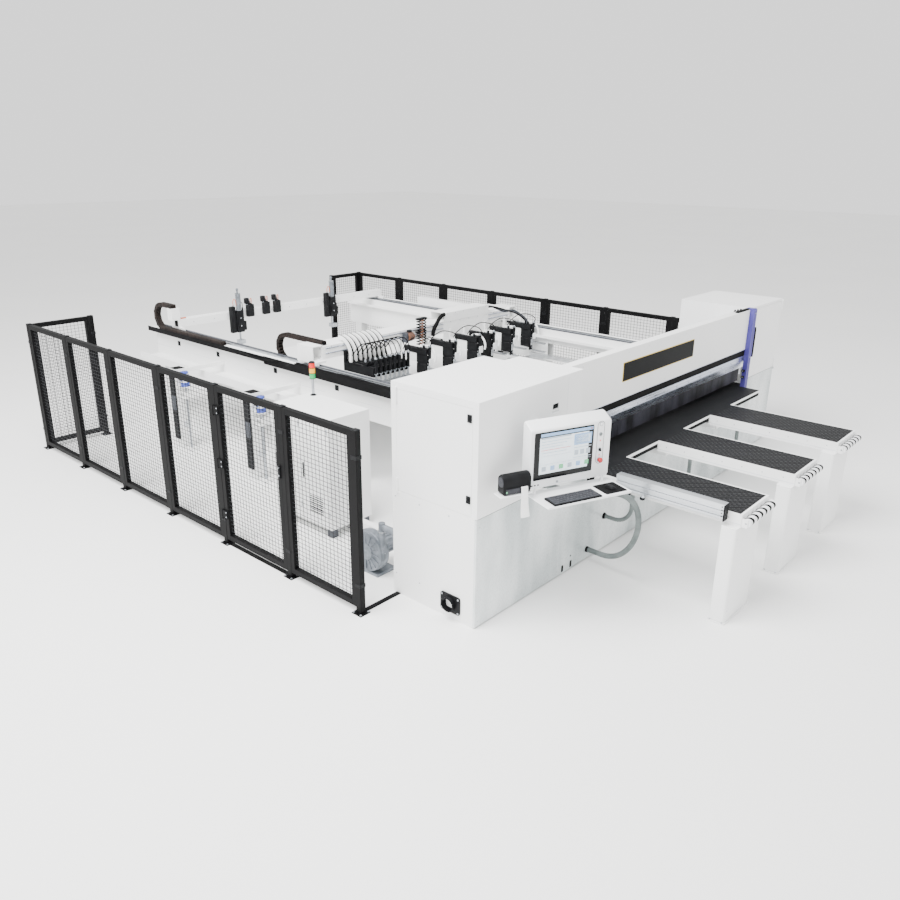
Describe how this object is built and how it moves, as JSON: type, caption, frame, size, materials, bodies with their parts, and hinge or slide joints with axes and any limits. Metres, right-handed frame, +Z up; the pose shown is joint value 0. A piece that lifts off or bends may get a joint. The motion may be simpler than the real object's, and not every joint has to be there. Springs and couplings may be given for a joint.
{
  "type": "beam saw",
  "caption": "Rear-loading panel saw: two cabinets, a portal beam over the saw line, air tables and a swivel console in front, clamp gantry, lift table and guard fences behind.",
  "frame": {"origin": "middle of the rectangle of floor that the machine with its fences covers, at floor height", "axes": "+X along the saw line to the right, seen by the operator in front; +Y to the rear, where panels are loaded; +Z up"},
  "size_m": [7.167, 9.502, 2.0279],
  "materials": {
    "cabinet_white": "satin",
    "panel_grey": "satin",
    "door_white": "satin",
    "black_parts": "matte",
    "frame_grey": "satin",
    "bright_metal": "brushed",
    "column_violet": "satin",
    "dark_strip": "matte",
    "table_metal": "brushed",
    "steel": "machined",
    "blade_steel": "ground",
    "light_metal": "satin",
    "motor_grey": "painted",
    "black_top": "satin",
    "hose_grey": "matte",
    "screen_dark": "gloss",
    "signal_red": "gloss",
    "button_white": "gloss",
    "fence_black": "satin"
  },
  "bodies": {
    "machine": {"left_cabinet": "cabinet_white", "front_panels": "panel_grey", "dust_port": "black_parts", "right_cabinet": "cabinet_white", "portal_beam": "frame_grey", "beam_cover": "cabinet_white", "bright_profile": "bright_metal", "curtain_strips": "dark_strip", "guide_column": "column_violet", "base_frame": "frame_grey", "base_front_panel": "panel_grey", "saw_table": "table_metal", "air_tables": "light_metal", "air_table_tops": "black_top", "table_legs": "cabinet_white", "squaring_fence": "bright_metal", "air_hoses": "hose_grey", "console_arm": "light_metal", "console_hose": "hose_grey", "side_beams": "cabinet_white", "guide_rails": "steel", "lift_columns": "cabinet_white", "service_units": "cabinet_white", "guard_fences": "fence_black"},
    "left_door": {"left_side_door": "door_white", "side_door_latches": "black_parts"},
    "right_door": {"right_door": "door_white", "right_door_handle": "black_parts"},
    "gate": {"fence_gate": "fence_black"},
    "console": {"console_housing": "light_metal", "console_screen": "screen_dark", "keyboard_tray": "light_metal", "keyboard": "black_parts", "label_printer": "black_parts"},
    "emergency_stop": {"emergency_stop": "signal_red"},
    "start_button": {"start_button": "button_white"},
    "selector_knob": {"selector_knob": "black_parts"},
    "saw_carriage": {"saw_carriage": "frame_grey"},
    "saw_lift": {"saw_lift": "frame_grey", "saw_motor": "motor_grey", "drive_belt": "dark_strip"},
    "main_blade": {"main_blade": "blade_steel"},
    "scoring_blade": {"scoring_blade": "blade_steel"},
    "pressure_beam": {"pressure_beam": "frame_grey", "pressure_pads": "dark_strip"},
    "nose_roller_1": {"nose_roller_1": "light_metal"},
    "nose_roller_2": {"nose_roller_2": "light_metal"},
    "nose_roller_3": {"nose_roller_3": "light_metal"},
    "gantry": {"pusher_gantry": "light_metal", "clamps": "black_parts", "cable_chains": "black_parts"},
    "pusher_shaft": {"pusher_shaft": "steel"},
    "clamp_jaws": {"clamp_jaws": "steel"},
    "lift_deck": {"lift_deck": "cabinet_white"},
    "lift_screw_1": {"lift_screw_1": "steel"},
    "lift_screw_2": {"lift_screw_2": "steel"},
    "lift_screw_3": {"lift_screw_3": "steel"},
    "lift_screw_4": {"lift_screw_4": "steel"},
    "feeder": {"feeder": "light_metal"},
    "feeder_fingers": {"feeder_fingers": "light_metal"}
  },
  "joints": [
    {"name": "left_door_hinge", "type": "hinge", "parent": "machine", "child": "left_door", "pos_m": [-3.0658, -2.238, 1.08], "axis": [0, 0, -1], "range_deg": [0, 75]},
    {"name": "right_door_hinge", "type": "hinge", "parent": "machine", "child": "right_door", "pos_m": [3.5715, -2.9763, 1.1], "axis": [0, 0, 1], "range_deg": [0, 110]},
    {"name": "gate_hinge", "type": "hinge", "parent": "machine", "child": "gate", "pos_m": [-3.5605, -0.218, 0.3], "axis": [0, 0, -1], "range_deg": [0, 95]},
    {"name": "console_swivel", "type": "hinge", "parent": "machine", "child": "console", "pos_m": [-2.3435, -3.332, 1.5], "axis": [0, 0, 1], "range_deg": [-3, 40]},
    {"name": "emergency_stop_push", "type": "slide", "parent": "console", "child": "emergency_stop", "axis": [0.3665, 0.9304, 0], "range_m": [0, 0.005]},
    {"name": "start_button_push", "type": "slide", "parent": "console", "child": "start_button", "axis": [0.3665, 0.9304, 0], "range_m": [0, 0.003], "stiffness_N_per_m": 1000},
    {"name": "selector_turn", "type": "hinge", "parent": "console", "child": "selector_knob", "pos_m": [-2.05969, -3.62651, 1.483], "axis": [0.3665, 0.9304, 0], "range_deg": [-45, 45]},
    {"name": "saw_carriage_travel", "type": "slide", "parent": "machine", "child": "saw_carriage", "axis": [1, 0, 0], "range_m": [0, 4.9]},
    {"name": "saw_lift_travel", "type": "slide", "parent": "saw_carriage", "child": "saw_lift", "axis": [0, 0, 1], "range_m": [0, 0.13]},
    {"name": "main_blade_spin", "type": "hinge", "parent": "saw_lift", "child": "main_blade", "pos_m": [-2.3565, -2.707, 0.775], "axis": [0, 1, 0], "continuous": true},
    {"name": "scoring_blade_spin", "type": "hinge", "parent": "saw_lift", "child": "scoring_blade", "pos_m": [-2.0165, -2.707, 0.793], "axis": [0, 1, 0], "continuous": true},
    {"name": "pressure_beam_travel", "type": "slide", "parent": "machine", "child": "pressure_beam", "axis": [0, 0, 1], "range_m": [-0.11, 0]},
    {"name": "nose_roller_1_spin", "type": "hinge", "parent": "machine", "child": "nose_roller_1", "pos_m": [-1.2055, -4.715, 0.947], "axis": [1, 0, 0], "continuous": true},
    {"name": "nose_roller_2_spin", "type": "hinge", "parent": "machine", "child": "nose_roller_2", "pos_m": [0.0095, -4.715, 0.947], "axis": [1, 0, 0], "continuous": true},
    {"name": "nose_roller_3_spin", "type": "hinge", "parent": "machine", "child": "nose_roller_3", "pos_m": [1.2245, -4.715, 0.947], "axis": [1, 0, 0], "continuous": true},
    {"name": "gantry_travel", "type": "slide", "parent": "machine", "child": "gantry", "axis": [0, 1, 0], "range_m": [-2.4, 1.6]},
    {"name": "pusher_shaft_turn", "type": "hinge", "parent": "gantry", "child": "pusher_shaft", "pos_m": [0.469, 1.083, 1.3853], "axis": [1, 0, 0], "range_deg": [-2300, 3450]},
    {"name": "clamp_jaws_close", "type": "slide", "parent": "gantry", "child": "clamp_jaws", "axis": [0, 0, 1], "range_m": [-0.105, 0]},
    {"name": "lift_deck_travel", "type": "slide", "parent": "machine", "child": "lift_deck", "axis": [0, 0, 1], "range_m": [-0.45, 0]},
    {"name": "lift_screw_1_turn", "type": "hinge", "parent": "machine", "child": "lift_screw_1", "pos_m": [-2.2565, 0.863, 0.5], "axis": [0, 0, 1], "range_deg": [-4060, 10]},
    {"name": "lift_screw_2_turn", "type": "hinge", "parent": "machine", "child": "lift_screw_2", "pos_m": [-2.2565, 2.523, 0.5], "axis": [0, 0, 1], "range_deg": [-4060, 10]},
    {"name": "lift_screw_3_turn", "type": "hinge", "parent": "machine", "child": "lift_screw_3", "pos_m": [2.6245, 0.863, 0.5], "axis": [0, 0, 1], "range_deg": [-4060, 10]},
    {"name": "lift_screw_4_turn", "type": "hinge", "parent": "machine", "child": "lift_screw_4", "pos_m": [2.6245, 2.523, 0.5], "axis": [0, 0, 1], "range_deg": [-4060, 10]},
    {"name": "feeder_travel", "type": "slide", "parent": "machine", "child": "feeder", "axis": [0, 1, 0], "range_m": [-1.5, 0.15]},
    {"name": "feeder_fingers_travel", "type": "slide", "parent": "feeder", "child": "feeder_fingers", "axis": [0, 0, 1], "range_m": [-0.22, 0]}
  ],
  "couplings": [
    {"joint": "pusher_shaft_turn", "follows": "gantry_travel", "rad_per_m": -25},
    {"joint": "lift_screw_1_turn", "follows": "lift_deck_travel", "rad_per_m": 157.08},
    {"joint": "lift_screw_2_turn", "follows": "lift_deck_travel", "rad_per_m": 157.08},
    {"joint": "lift_screw_3_turn", "follows": "lift_deck_travel", "rad_per_m": 157.08},
    {"joint": "lift_screw_4_turn", "follows": "lift_deck_travel", "rad_per_m": 157.08}
  ]
}
